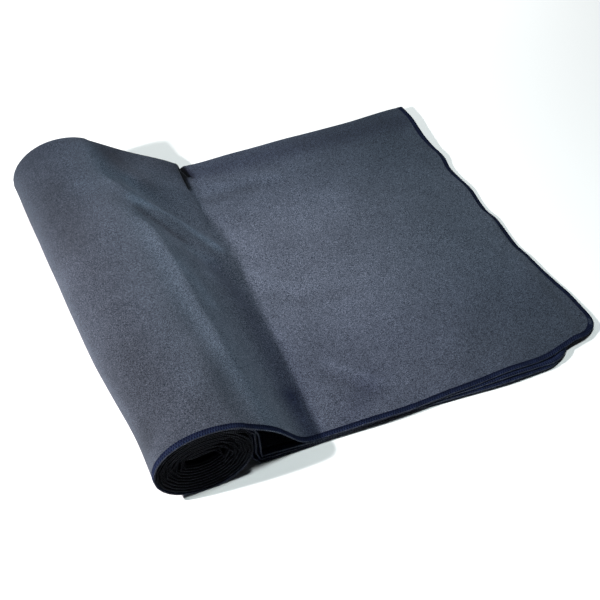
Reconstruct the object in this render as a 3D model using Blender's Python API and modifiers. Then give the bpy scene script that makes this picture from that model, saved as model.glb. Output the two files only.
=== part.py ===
"""Yoga towel, folded and rolled up with its loose end laid out.

The towel is one piece of cloth, 610 mm wide and 1830 mm long. It is folded in half along its
length and then in half across, so four layers lie on each other. It is rolled up from the fold
across its middle, and the last stretch of the four layers comes off the top of the roll, slopes
down to the surface and lies flat. The open edges are at the front and the lengthwise folds are
at the back. Soft creases cross the top of the roll, the slope and the flat stretch.

Lengths are metres. +X runs along the open front edges towards the loose end, +Y runs back to the
folds and +Z is up. The sizes below are measured from the loose end's line (x = 0), from the line
of the open edges (y = 0) and from the surface (z = 0). The finished solid is then moved so that
the middle of its bounding box's underside is the origin.
"""

import math
from collections import namedtuple

import bmesh
import bpy
from mathutils import Vector

# Cloth
FOLDED_WIDTH = 0.3025  # from the line of the open edges back to where the folds turn under
CLOTH = 0.0010  # thickness of one layer
GAP = 0.0003  # air between layers
PITCH = CLOTH + GAP
LAYERS = 4
STACK = LAYERS * CLOTH + (LAYERS - 1) * GAP
CORNER_RADIUS = 0.021  # the cut corners of the cloth

# Roll: one row for each section along it, front to back. The outline is an ellipse that sinks
# a little below the surface and is cut off there, which leaves the flat that it rests on. The
# slope comes down at foot_x, with a bend of radius foot_r onto the flat stretch.
RollSection = namedtuple("RollSection", "y middle_x half_width height foot_x foot_r")
ROLL = (
    RollSection(y=0.000, middle_x=-0.2912, half_width=0.0338, height=0.0475, foot_x=-0.2240, foot_r=0.022),
    RollSection(y=0.040, middle_x=-0.2898, half_width=0.0338, height=0.0490, foot_x=-0.2170, foot_r=0.022),
    RollSection(y=0.105, middle_x=-0.2910, half_width=0.0362, height=0.0515, foot_x=-0.2100, foot_r=0.026),
    RollSection(y=0.200, middle_x=-0.2900, half_width=0.0364, height=0.0552, foot_x=-0.1995, foot_r=0.022),
    RollSection(y=0.303, middle_x=-0.2885, half_width=0.0362, height=0.0582, foot_x=-0.1925, foot_r=0.008),
)
SUNK = 0.0006  # how far the ellipse would reach below the surface
TURN_STEP = STACK + GAP  # one turn of the roll lies this far inside the next
TURNS = 4  # turns drawn on the ends of the roll
STEP_STARTS = 0.72  # fraction of a turn after which the outline draws in under the next turn
ROLL_COVER = 0.0002  # the roll's outer face lies this far above the layers that run into it
ROOT_ANGLE = 0.22  # the layers start this far round inside the roll (radians)
ROOT_SUNK = 0.0012  # and the top one starts this far below the roll's face

# How far the roll's front end stands proud of the open edges, by fraction of a turn
EndRow = namedtuple("EndRow", "turn proud")
ROLL_FRONT = (
    EndRow(turn=0.00, proud=0.0026),
    EndRow(turn=0.30, proud=0.0045),
    EndRow(turn=0.60, proud=0.0055),
    EndRow(turn=0.85, proud=0.0035),
    EndRow(turn=1.00, proud=0.0026),
)
ROLL_BACK = 0.0015  # the roll's back end stands this far behind the fold line
GROOVE = 0.0016  # depth of the groove between turns on the roll's ends
DISH = 0.0008  # each turn lies this much deeper than the one around it
RIM = 0.0006  # the outermost layer's edge stands this far out of the first turn

# Loose end: where each layer ends, from the top layer down, and how far the slack layers stand
# off each other
Layer = namedtuple("Layer", "end_at_front end_at_back loose")
LAYER_TABLE = (
    Layer(end_at_front=0.000, end_at_back=0.000, loose=0.0000),
    Layer(end_at_front=-0.020, end_at_back=-0.001, loose=0.0034),
    Layer(end_at_front=-0.028, end_at_back=-0.028, loose=0.0014),
    Layer(end_at_front=-0.028, end_at_back=-0.029, loose=0.0000),
)
CORNER_FLARE = 0.0052  # the top layer's end stands out by this much near its front corner
FLARE_FROM = 0.030  # front to back, the flare is whole up to here
FLARE_TO = 0.085  # and gone from here on

# The fold line runs a little further back towards the loose end
FOLD_FAN = 0.0028  # at the loose end
FOLD_FAN_FROM = -0.19  # from this place on

# Open front edges: how far each layer is drawn back from the line, by place along it
FrontRow = namedtuple("FrontRow", "x top second lower")
FRONT_EDGES = (
    FrontRow(x=-0.262, top=-0.0012, second=0.0010, lower=0.0015),
    FrontRow(x=-0.222, top=0.0015, second=0.0010, lower=0.0010),
    FrontRow(x=-0.160, top=0.0002, second=0.0020, lower=0.0020),
    FrontRow(x=-0.115, top=0.0022, second=0.0014, lower=0.0000),
    FrontRow(x=-0.080, top=0.0040, second=0.0009, lower=-0.0020),
    FrontRow(x=-0.048, top=0.0048, second=0.0009, lower=-0.0012),
    FrontRow(x=-0.015, top=0.0130, second=0.0009, lower=-0.0012),
    FrontRow(x=0.010, top=0.0140, second=0.0009, lower=-0.0012),
)

# Slack: at the front the three lower layers have dropped off the slope. They hug the roll's
# side, fall to the surface and run along it, and towards the back they lie under the top layer.
SLACK_DEPTH = 0.21  # the lower layers are together with the top one from here back
PARTED = 0.0026  # and there they still lie this far under it, which leaves room for its troughs
PARTING_STEPS = 3  # steps down the slope over which they part from the top layer
TOE_START = 0.0084  # height at which the lower layers bend onto the surface
TOE_RADIUS = 0.0070  # radius of that bend
SIDE_STEPS = 12  # points on the roll's side, and on the bend

# Waves: the stitched end of the top layer is a little stretched, and waves out and in
EndWave = namedtuple("EndWave", "y out")
END_WAVES = (
    EndWave(y=0.060, out=0.0000),
    EndWave(y=0.096, out=0.0010),
    EndWave(y=0.112, out=-0.0008),
    EndWave(y=0.146, out=0.0010),
    EndWave(y=0.160, out=-0.0010),
    EndWave(y=0.187, out=0.0012),
    EndWave(y=0.215, out=-0.0012),
    EndWave(y=0.232, out=0.0010),
    EndWave(y=0.258, out=-0.0014),
    EndWave(y=0.286, out=0.0010),
    EndWave(y=0.3025, out=0.0000),
)
WAVE_LIFT = 0.6  # the end also lifts, by this fraction of how far it waves out
WAVE_BAND = 0.018  # and this far in from the end the lift has died away
END_DROP = 0.0022  # the top layer sinks by this much past the end of the layer below it
DROP_START = 0.006  # it starts to sink this far past that end
DROP_REACH = 0.012  # and takes this far to do so

# Main creases: ridges (rise above zero) and troughs (below zero), each on a line from its start
# over a point between to its end. The width is where the rise has died away to about a third.
Crease = namedtuple("Crease", "start over end rise wide")
CREASES = (
    # Top of the roll
    Crease(start=(-0.273, 0.281), over=(-0.261, 0.222), end=(-0.254, 0.181), rise=0.0014, wide=0.006),
    Crease(start=(-0.264, 0.136), over=(-0.263, 0.097), end=(-0.256, 0.052), rise=-0.0009, wide=0.005),
    Crease(start=(-0.255, 0.135), over=(-0.252, 0.095), end=(-0.248, 0.022), rise=0.0013, wide=0.006),
    Crease(start=(-0.317, 0.144), over=(-0.307, 0.147), end=(-0.297, 0.149), rise=0.0010, wide=0.006),
    Crease(start=(-0.315, 0.074), over=(-0.308, 0.072), end=(-0.300, 0.071), rise=0.0010, wide=0.006),
    # Slope
    Crease(start=(-0.259, 0.277), over=(-0.232, 0.268), end=(-0.196, 0.250), rise=-0.0024, wide=0.008),
    Crease(start=(-0.256, 0.232), over=(-0.233, 0.226), end=(-0.212, 0.203), rise=0.0024, wide=0.007),
    Crease(start=(-0.243, 0.212), over=(-0.232, 0.190), end=(-0.227, 0.140), rise=-0.0014, wide=0.009),
    # Flat stretch
    Crease(start=(-0.196, 0.160), over=(-0.181, 0.149), end=(-0.163, 0.131), rise=0.0012, wide=0.007),
    Crease(start=(-0.186, 0.276), over=(-0.160, 0.269), end=(-0.130, 0.265), rise=0.0012, wide=0.007),
    Crease(start=(-0.186, 0.049), over=(-0.175, 0.037), end=(-0.166, 0.022), rise=0.0009, wide=0.006),
)
CREASES_FADE = 0.3  # creases die away where the roll's face turns upright

# How fine the solid is
ROUND_STEPS = 36  # points round one turn
ROLL_STATIONS = 18  # sections along the roll
SLOPE_STEPS = 7  # down the slope
FOOT_STEPS = 5  # round the bend at its foot
FLAT_STEPS = 8  # along the flat stretch
FLAT_SPREAD = 1.5  # how strongly those steps grow away from the foot
END_BAND = 0.036  # the last stretch of a layer, in even steps
END_STEPS = 4
FOLD_STEPS = 4  # round a fold at the back
CORNER_STEPS = 4  # round a cut corner
TOP_SPACING = 0.010  # between rows of the top layer, front to back
LOWER_SPACING = 0.040  # and of the layers below it

CLOTH_COLOUR = (0.078, 0.094, 0.125, 1.0)


def clamp(value, low=0.0, high=1.0):
    return max(low, min(high, value))


def ease(fraction):
    """Smooth rise from 0 to 1."""
    fraction = clamp(fraction)
    return fraction * fraction * (3.0 - 2.0 * fraction)


def between(start, end, fraction):
    return start + (end - start) * fraction


def from_table(rows, key, place, column):
    """Value of a column at a place between a table's rows, on a curve through the rows."""
    places = [getattr(row, key) for row in rows]
    values = [getattr(row, column) for row in rows]
    if place <= places[0]:
        return values[0]
    if place >= places[-1]:
        return values[-1]
    n = max(i for i in range(len(rows) - 1) if places[i] <= place)
    before = max(n - 1, 0)
    after = min(n + 2, len(rows) - 1)
    span = places[n + 1] - places[n]
    slope_in = (values[n + 1] - values[before]) / (places[n + 1] - places[before]) * span
    slope_out = (values[after] - values[n]) / (places[after] - places[n]) * span
    t = (place - places[n]) / span
    rise = values[n + 1] - values[n]
    bend = slope_in * (t - 2 * t**2 + t**3) + slope_out * (t**3 - t**2)
    return values[n] + rise * (3 * t**2 - 2 * t**3) + bend


def along_line(spot, start, end):
    """Distance from a spot to the straight line between two points."""
    line = end - start
    reach = clamp((spot - start).dot(line) / line.length_squared)
    return (spot - start - line * reach).length


def crease_rise(x, y):
    """How far the creases lift or sink the cloth at a place seen from above."""
    spot = Vector((x, y))
    total = 0.0
    for crease in CREASES:
        over = Vector(crease.over)
        off = min(
            along_line(spot, Vector(crease.start), over),
            along_line(spot, over, Vector(crease.end)),
        )
        total += crease.rise * math.exp(-((off / crease.wide) ** 2))
    return total


class RollOutline:
    """The roll's outline at one depth, and where the slope leaves it."""

    def __init__(self, depth):
        self.middle_x = from_table(ROLL, "y", depth, "middle_x")
        self.half_width = from_table(ROLL, "y", depth, "half_width")
        self.foot_x = from_table(ROLL, "y", depth, "foot_x")
        self.foot_radius = from_table(ROLL, "y", depth, "foot_r")
        height = from_table(ROLL, "y", depth, "height")
        self.half_height = (height + SUNK) / 2
        self.middle_z = height - self.half_height
        across = (self.foot_x - self.middle_x) / self.half_width
        up = (STACK - self.middle_z) / self.half_height
        self.leaves = math.atan2(up, across) + math.acos(1.0 / math.hypot(across, up))

    def point(self, angle, inset=0.0):
        """Point (x, z) on the ellipse drawn in by the inset, and the outward direction there."""
        wide = self.half_width - inset
        high = self.half_height - inset
        x = self.middle_x + wide * math.cos(angle)
        z = self.middle_z + high * math.sin(angle)
        out = Vector((high * math.cos(angle), wide * math.sin(angle))).normalized()
        return Vector((x, z)), out

    def turn_point(self, turn):
        """Point on the spiral of the wound layers, counted in turns from where the slope leaves."""
        whole = math.floor(turn)
        drawn_in = ease((turn - whole - STEP_STARTS) / (1.0 - STEP_STARTS))
        inset = TURN_STEP * (whole + drawn_in)
        if turn < 1.0:
            inset -= ROLL_COVER * (1.0 - drawn_in)
        spot, out = self.point(self.leaves + 2 * math.pi * turn, inset)
        spot.y = max(spot.y, 0.0)
        return spot, out


def evenly_along(points, directions, count):
    """A path's points and outward directions, taken again at even steps."""
    lengths = [0.0]
    for a, b in zip(points, points[1:]):
        lengths.append(lengths[-1] + (b - a).length)
    result = []
    n = 0
    for step in range(count):
        target = lengths[-1] * step / (count - 1)
        while n < len(points) - 2 and lengths[n + 1] < target:
            n += 1
        t = clamp((target - lengths[n]) / (lengths[n + 1] - lengths[n]))
        spot = points[n].lerp(points[n + 1], t)
        out = directions[n].lerp(directions[n + 1], t).normalized()
        result.append((spot, out))
    return result


def slope_path(outline):
    """Top face of the stack from the roll to the flat: straight down the slope, round the foot."""
    start, out = outline.point(outline.leaves)
    down = Vector((outline.foot_x, STACK)) - start
    fall = down.normalized()
    tilt = math.atan2(-fall.y, fall.x)
    reach = outline.foot_radius * math.tan(tilt / 2)
    foot_start = Vector((outline.foot_x, STACK)) - fall * reach
    path = []
    for step in range(SLOPE_STEPS):
        path.append((start.lerp(foot_start, step / SLOPE_STEPS), out))
    centre = Vector((outline.foot_x + reach, STACK + outline.foot_radius))
    for step in range(FOOT_STEPS + 1):
        lean = tilt * (1.0 - step / FOOT_STEPS)
        out = Vector((math.sin(lean), math.cos(lean)))
        path.append((centre - out * outline.foot_radius, out))
    return path


def slack_path(outline, end_x):
    """Underside of the slack layers: down the roll's side, round the toe and along the surface."""
    points = []
    directions = []
    for step in range(SIDE_STEPS + 1):
        angle = outline.leaves * (1.0 - step / SIDE_STEPS)
        turn = 1.0 - (outline.leaves - angle) / (2 * math.pi)
        drawn_in = ease((turn - STEP_STARTS) / (1.0 - STEP_STARTS))
        spot, out = outline.point(angle, TURN_STEP * drawn_in - GAP)
        points.append(spot)
        directions.append(out)
    side_x = points[-1].x
    points.append(Vector((side_x, TOE_START)))
    directions.append(Vector((1.0, 0.0)))
    centre = Vector((side_x + TOE_RADIUS, TOE_RADIUS))
    for step in range(SIDE_STEPS + 1):
        lean = math.pi / 2 * step / SIDE_STEPS
        out = Vector((math.cos(lean), math.sin(lean)))
        points.append(centre - out * TOE_RADIUS)
        directions.append(out)
    points.append(Vector((end_x, 0.0)))
    directions.append(Vector((0.0, 1.0)))
    return evenly_along(points, directions, SLOPE_STEPS + FOOT_STEPS + 1)


def end_of_layer(layer, depth):
    """Where a layer's end lies at one depth, with its rounded corner at the front."""
    row = LAYER_TABLE[layer]
    line = between(row.end_at_front, row.end_at_back, depth / FOLDED_WIDTH)
    if layer == 0:
        line += CORNER_FLARE * (1.0 - ease((depth - FLARE_FROM) / (FLARE_TO - FLARE_FROM)))
        line += from_table(END_WAVES, "y", depth, "out")
    if depth < CORNER_RADIUS:
        line += math.sqrt(CORNER_RADIUS**2 - (CORNER_RADIUS - depth) ** 2) - CORNER_RADIUS
    return line


def place_in_depth(layer, depth, x):
    """A row's place front to back, with the open edge drawn in and the fold line fanned out."""
    column = ("top", "second", "lower", "lower")[layer]
    back = depth / FOLDED_WIDTH
    drawn_in = from_table(FRONT_EDGES, "x", x, column) * (1.0 - back) ** 2
    fanned = FOLD_FAN * back * clamp(1.0 - x / FOLD_FAN_FROM)
    return depth + drawn_in + fanned


def flat_places(start_x, end_x):
    """Places along the flat stretch: close together by the foot and by the end."""
    band_x = end_x - END_BAND
    places = []
    for step in range(1, FLAT_STEPS + 1):
        places.append(between(start_x, band_x, (step / FLAT_STEPS) ** FLAT_SPREAD))
    for step in range(1, END_STEPS + 1):
        places.append(between(band_x, end_x, step / END_STEPS))
    return places


def root_point(layer, depth, outline):
    """Where a layer starts, sunk in the roll."""
    spot, out = outline.point(outline.leaves + ROOT_ANGLE)
    from_top = ROOT_SUNK + CLOTH / 2 + layer * PITCH
    if layer == 0:
        return spot + out * (crease_rise(spot.x, depth) - from_top)
    return spot - out * (from_top + PARTED)


def slope_point(layer, depth, step, slope, slack):
    """Point on the slope or its foot. Lower layers drop from the top one towards the front."""
    from_top = CLOTH / 2 + layer * PITCH
    from_below = CLOTH / 2 + (LAYERS - 1 - layer) * PITCH
    top, out = slope[step]
    room = min(max(top.y - STACK, 0.0) / 2, PARTED)
    if layer == 0:
        return top + out * (max(crease_rise(top.x, depth), -room) - from_top)
    fallen = (1.0 - ease(depth / SLACK_DEPTH)) * ease(step / PARTING_STEPS)
    low, side = slack[step]
    loose = LAYER_TABLE[layer].loose * math.sin(math.pi * step / (len(slope) - 1))
    return (top - out * (from_top + room)).lerp(low + side * (from_below + loose), fallen)


def flat_point(layer, depth, x, end_x):
    """Point on the flat stretch. Only the top layer has creases and waves there."""
    z = STACK - CLOTH / 2 - layer * PITCH
    if layer == 0:
        under_end = end_of_layer(1, place_in_depth(0, depth, x))
        past = ease((x - under_end - DROP_START) / DROP_REACH)
        near_end = ease(1.0 - (end_x - x) / WAVE_BAND)
        wave = WAVE_LIFT * max(from_table(END_WAVES, "y", depth, "out"), 0.0)
        z += max(crease_rise(x, depth), 0.0) + wave * near_end - END_DROP * past
    return Vector((x, z))


def line_across(layer, depth):
    """Points in the middle of a layer's thickness, from the roll to the layer's end."""
    outline = RollOutline(depth)
    slope = slope_path(outline)
    start_x = slope[-1][0].x
    end_x = end_of_layer(layer, depth)
    slack = slack_path(outline, start_x)
    spots = [root_point(layer, depth, outline)]
    spots += [slope_point(layer, depth, step, slope, slack) for step in range(len(slope))]
    spots += [flat_point(layer, depth, x, end_x) for x in flat_places(start_x, end_x)]
    line = [Vector((spot.x, place_in_depth(layer, depth, spot.x), spot.y)) for spot in spots]
    line[0].y = between(GAP, FOLDED_WIDTH, depth / FOLDED_WIDTH)
    return line


def depths(spacing):
    """Rows from the open edge to the fold: close together round the corner, then even."""
    corner = []
    for step in range(CORNER_STEPS + 1):
        angle = math.pi / 2 * step / CORNER_STEPS
        corner.append(CORNER_RADIUS * (1.0 - math.cos(angle)))
    count = round((FOLDED_WIDTH - CORNER_RADIUS) / spacing)
    even = [between(CORNER_RADIUS, FOLDED_WIDTH, n / count) for n in range(1, count + 1)]
    return corner + even


def fold_line(above, below, turn):
    """Points part of the way round the fold between the back rows of two layers."""
    line = []
    for high, low in zip(above, below):
        middle = (high + low) / 2
        radius = (high - low).length / 2
        spot = middle + (high - middle) * math.cos(turn)
        spot.y += radius * math.sin(turn)
        line.append(spot)
    return line


def pair_of_layers(name, upper, upper_spacing, lower_spacing):
    """Two layers joined by the fold at the back, as one sheet of cloth with a thickness."""
    above = [line_across(upper, depth) for depth in depths(upper_spacing)]
    below = [line_across(upper + 1, depth) for depth in depths(lower_spacing)]
    rows = list(above)
    for step in range(1, FOLD_STEPS):
        rows.append(fold_line(above[-1], below[-1], math.pi * step / FOLD_STEPS))
    rows.extend(reversed(below))
    columns = len(rows[0])

    mesh = bpy.data.meshes.new(name)
    sheet = bmesh.new()
    bmesh.ops.create_grid(sheet, x_segments=columns - 1, y_segments=len(rows) - 1, size=0.5)
    sheet.verts.ensure_lookup_table()
    for vertex in sheet.verts:
        column = round((vertex.co.x + 0.5) * (columns - 1))
        row = round((vertex.co.y + 0.5) * (len(rows) - 1))
        vertex.co = rows[row][column]
    sheet.to_mesh(mesh)
    sheet.free()
    pair = bpy.data.objects.new(name, mesh)
    thickness = pair.modifiers.new("Cloth thickness", "SOLIDIFY")
    thickness.thickness = CLOTH
    thickness.offset = 0.0
    pair.hide_render = True
    pair.display_type = "WIRE"
    return pair


def build_roll():
    """The wound roll: a loft between its sections, with the spiral of its turns on both ends."""
    mesh = bpy.data.meshes.new("towel")
    roll = bmesh.new()

    rings = []
    for station in range(ROLL_STATIONS + 1):
        fraction = station / ROLL_STATIONS
        outline = RollOutline(FOLDED_WIDTH * fraction)
        ring = []
        for n in range(ROUND_STEPS + 1):
            turn = n / ROUND_STEPS
            spot, out = outline.turn_point(turn)
            if out.y > 0.0:
                rise = crease_rise(spot.x, FOLDED_WIDTH * fraction)
                spot += out * rise * ease(out.y / CREASES_FADE)
            front = -from_table(ROLL_FRONT, "turn", turn, "proud")
            y = between(front, FOLDED_WIDTH + ROLL_BACK, fraction)
            ring.append(roll.verts.new((spot.x, y, spot.y)))
        rings.append(ring)
    for near, far in zip(rings, rings[1:]):
        for n in range(ROUND_STEPS):
            roll.faces.new((near[n], near[n + 1], far[n + 1], far[n]))
        roll.faces.new((near[-1], near[0], far[0], far[-1]))

    for rim, depth, inward in ((rings[0], 0.0, 1.0), (rings[-1], FOLDED_WIDTH, -1.0)):
        close_end(roll, rim, depth, inward)
    bmesh.ops.recalc_face_normals(roll, faces=roll.faces)
    roll.to_mesh(mesh)
    roll.free()
    return bpy.data.objects.new("towel", mesh)


def close_end(roll, rim, depth, inward):
    """Spiral of the wound layers on one end: a low ridge on each turn, a groove between turns."""
    outline = RollOutline(depth)
    grooves = list(rim)
    ridges = []
    last = (TURNS - 1) * ROUND_STEPS
    for n in range(last + 1):
        turn = n / ROUND_STEPS
        outer, _ = outline.turn_point(turn)
        inner, _ = outline.turn_point(turn + 1.0)
        middle = (outer + inner) / 2
        ridge_y = rim[n % ROUND_STEPS].co.y + inward * (RIM + DISH * turn)
        ridges.append(roll.verts.new((middle.x, ridge_y, middle.y)))
        if n > 0:
            groove_y = ridge_y + inward * (DISH + GROOVE)
            grooves.append(roll.verts.new((inner.x, groove_y, inner.y)))
    for n in range(last):
        beyond = n + ROUND_STEPS
        roll.faces.new((grooves[n], grooves[n + 1], ridges[n + 1], ridges[n]))
        roll.faces.new((ridges[n], ridges[n + 1], grooves[beyond + 1], grooves[beyond]))
    roll.faces.new((grooves[0], ridges[0], grooves[ROUND_STEPS]))
    roll.faces.new([ridges[last]] + grooves[last : last + ROUND_STEPS + 1])


def cloth_material():
    material = bpy.data.materials.new("slate blue suede cloth")
    material.use_nodes = True
    shader = material.node_tree.nodes["Principled BSDF"]
    shader.inputs["Base Color"].default_value = CLOTH_COLOUR
    shader.inputs["Roughness"].default_value = 0.95
    shader.inputs["Metallic"].default_value = 0.0
    return material


def join(target, other):
    union = target.modifiers.new("Join " + other.name, "BOOLEAN")
    union.operation = "UNION"
    union.solver = "EXACT"
    union.object = other


def stand_on_origin(towel, pairs):
    """Move everything so that the middle of the finished solid's underside is the origin."""
    bpy.context.view_layer.update()
    finished = towel.evaluated_get(bpy.context.evaluated_depsgraph_get())
    corners = [Vector(corner) for corner in finished.bound_box]
    low = [min(corner[axis] for corner in corners) for axis in range(3)]
    high = [max(corner[axis] for corner in corners) for axis in range(3)]
    move = Vector((-(low[0] + high[0]) / 2, -(low[1] + high[1]) / 2, -low[2]))
    for thing in [towel] + pairs:
        thing.location = move


def main():
    for old in list(bpy.data.objects):
        bpy.data.objects.remove(old)
    parts = bpy.data.collections.new("Yoga towel")
    guides = bpy.data.collections.new("Joined shapes")
    bpy.context.scene.collection.children.link(parts)
    bpy.context.scene.collection.children.link(guides)

    towel = build_roll()
    parts.objects.link(towel)
    upper_pair = pair_of_layers("upper_pair", 0, TOP_SPACING, LOWER_SPACING)
    lower_pair = pair_of_layers("lower_pair", 2, LOWER_SPACING, LOWER_SPACING)
    for pair in (upper_pair, lower_pair):
        guides.objects.link(pair)
        join(towel, pair)
    towel.data.materials.append(cloth_material())
    stand_on_origin(towel, [upper_pair, lower_pair])


main()
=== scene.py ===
"""Yoga towel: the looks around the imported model.

The cloth is one sheet, 610 mm wide and 1830 mm long, with rounded corners and an overlocked edge.
It is folded in half along its length and then in half across, so four layers lie on each other, and
it is rolled up from the fold across its middle. The sheet is made as one grid of points: every
point has a place on the flat cloth, and a function puts it where it lies in the towel. The
overlock threads are then laid round the whole edge of that sheet.

Lengths are metres. The sizes are measured from the loose end's line (x = 0), from the line of the
open edges (y = 0) and from the surface (z = 0), and TO_FRAME moves them into the frame.
"""

import math
from collections import namedtuple
from functools import lru_cache

import bpy
import numpy as np
from bpy.props import FloatProperty, FloatVectorProperty, PointerProperty
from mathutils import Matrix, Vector


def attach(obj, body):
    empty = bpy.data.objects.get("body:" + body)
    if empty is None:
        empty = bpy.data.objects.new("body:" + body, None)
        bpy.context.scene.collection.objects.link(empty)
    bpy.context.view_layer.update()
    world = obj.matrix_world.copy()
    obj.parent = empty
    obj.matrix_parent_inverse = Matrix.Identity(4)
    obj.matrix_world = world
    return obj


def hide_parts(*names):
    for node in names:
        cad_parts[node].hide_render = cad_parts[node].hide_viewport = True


bl_info = {
    "name": "Yoga towel",
    "version": (1, 0, 0),
    "blender": (4, 5, 0),
    "location": "3D View > Sidebar > Yoga towel",
    "description": "Folded and rolled suede towel with an overlocked edge",
    "category": "Add Mesh",
}

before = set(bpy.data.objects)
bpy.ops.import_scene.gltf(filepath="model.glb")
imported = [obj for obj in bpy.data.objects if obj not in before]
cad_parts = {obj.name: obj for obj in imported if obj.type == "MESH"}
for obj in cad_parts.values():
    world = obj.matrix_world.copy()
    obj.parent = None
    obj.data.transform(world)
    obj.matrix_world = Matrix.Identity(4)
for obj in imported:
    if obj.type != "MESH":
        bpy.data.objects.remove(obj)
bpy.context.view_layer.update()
TO_FRAME = np.array((0.161126, -0.150538, 0.0003))  # the under thread lifts the cloth a little


def table(columns, *rows):
    """Rows of values, with their columns named."""
    row = namedtuple("Row", columns)
    return tuple(row(*values) for values in rows)


# Cloth, as it is cut
WIDTH = 0.610
LENGTH = 1.830
CORNER_RADIUS = 0.021
CORNER_ZONE = 0.060  # the grid's columns are drawn together over this much of the cloth's ends
FOLD_ZONE = 0.005  # cloth taken up by each fold
HALF_FOLD = FOLD_ZONE / 2
ON_FOLD = 1e-9  # how close to a fold's edge a line of the grid counts as lying on it

# Layers of the folded towel
FOLDED_WIDTH = 0.3025  # from the open edges back to where the folds turn under
LAYER_STEP = 0.0013  # from the middle of one layer to the next on the flat stretch
LOWEST = 0.0005  # middle of the lowest layer
STACK = 0.0049  # top of the four layers
A, B, C, D = range(4)  # from the top down

# Roll: one row for each section along it, front to back. The outline is an ellipse, with the
# flat that it rests on. The slope comes down at foot_x, with a bend of radius foot_r.
ROLL = table(
    "y middle_x half_width height foot_x foot_r turn_step",
    (0.000, -0.2912, 0.0338, 0.0475, -0.2240, 0.022, 0.0040),
    (0.040, -0.2898, 0.0338, 0.0490, -0.2170, 0.022, 0.0041),
    (0.105, -0.2910, 0.0362, 0.0515, -0.2100, 0.026, 0.0045),
    (0.200, -0.2900, 0.0364, 0.0552, -0.1995, 0.022, 0.0048),
    (0.303, -0.2885, 0.0362, 0.0582, -0.1925, 0.008, 0.0050),
)
SUNK = 0.0006  # how far the ellipse would go below the surface
TURNS = 5.25
WOUND_POINTS = 420  # points that the spiral's length is measured on
SMALLEST_TURN = (0.0006, 0.0004)  # half width and half height at the core
STEP_STARTS = 0.72  # fraction of a turn after which the outline draws in under the next turn
EVEN_BY = 0.02  # inset at which the flat under the roll has died away

# Front end of the roll, by fraction of a turn, and how far each layer is drawn in there
ROLL_FRONT = table(
    "turn proud",
    (0.00, 0.0012), (0.08, 0.0028), (0.30, 0.0045), (0.60, 0.0055), (0.85, 0.0035), (1.00, 0.0026),
)
LAYER_DRAWN_IN = (0.0, 0.0012, 0.0006, 0.0018)
DRAWN_IN_BY = 0.1  # turns after which they are drawn in fully
DISH = 0.0009  # each turn lies this much deeper than the one around it
ROLL_BACK = 0.0015

# Loose end of each layer, and how far its slack stands off the layer below
LAYERS = table(
    "end_at_front end_at_back loose",
    (0.000, 0.000, 0.0000),
    (-0.024, -0.001, 0.0034),
    (-0.028, -0.028, 0.0014),
    (-0.028, -0.029, 0.0000),
)
CORNER_FLARE = 0.0063  # how much further out the top layer's front corner lies
FLARE_FROM = 0.040
FLARE_TO = 0.096
FOLD_FAN = 0.0028  # how far the fold at the back fans out towards the roll
FOLD_FAN_FROM = -0.19

# Open front edges: how far each layer is drawn back from the line, by place along it
FRONT_EDGES = table(
    "x top second lower",
    (-0.262, -0.0012, 0.0010, 0.0015),
    (-0.222, 0.0015, 0.0010, 0.0010),
    (-0.160, 0.0002, 0.0020, 0.0020),
    (-0.115, 0.0022, 0.0014, 0.0000),
    (-0.080, 0.0040, 0.0009, -0.0020),
    (-0.048, 0.0048, 0.0009, -0.0012),
    (-0.015, 0.0130, 0.0009, -0.0012),
    (0.010, 0.0140, 0.0009, -0.0012),
)

# Slack of the three lower layers at the front, which have dropped off the slope
SLACK_DEPTH = 0.21  # from the front back to where they lie on the slope again
PARTED = 0.0008  # gap under the top layer on the slope
PARTING = 0.25  # part of the slope's length over which they leave the top layer
OFF_ROLL = 0.0002
TOE_START = 0.0084
TOE_RADIUS = 0.0070

# Points on each stretch of the slope's line and of the slack's line
SLOPE_POINTS = 20
FOOT_POINTS = 14
SIDE_POINTS = 16
TOE_POINTS = 12

# Waves of the top layer's stitched end
END_WAVES = table(
    "y out",
    (0.060, 0.0000), (0.096, 0.0010), (0.112, -0.0008), (0.146, 0.0010), (0.160, -0.0010),
    (0.187, 0.0012), (0.215, -0.0012), (0.232, 0.0010), (0.258, -0.0014), (0.286, 0.0010),
    (0.3025, 0.0000),
)
WAVE_LIFT = 0.5
WAVE_BAND = 0.018
END_DROP = 0.0022
# How far the loose ends of the upper two layers sink past the ends of the lower two
END_FALLS = table(
    "y fall",
    (0.000, 0.0000), (0.030, 0.0002), (0.060, 0.0007), (0.100, 0.0009), (0.150, 0.0014),
    (0.200, 0.0016), (0.240, 0.0008), (0.275, -0.0004), (0.3025, -0.0010),
)
FALL_LENGTH = 0.028
CURL = 0.0016  # the stitched end turns down by this much
CURL_REACH = 0.0050
CURL_NEEDS = 0.006  # free length past the layer below that lets it turn down fully
DROP_START = 0.006
DROP_REACH = 0.012

# The top layer rises a little towards the fold at the back, which is full and soft
PUFFS = (0.0006, 0.0, 0.00012, 0.0)  # rise of each layer
PUFF_REACH = 0.040
PUFF_TURN = 0.12  # turns round the roll over which it dies away

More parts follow.
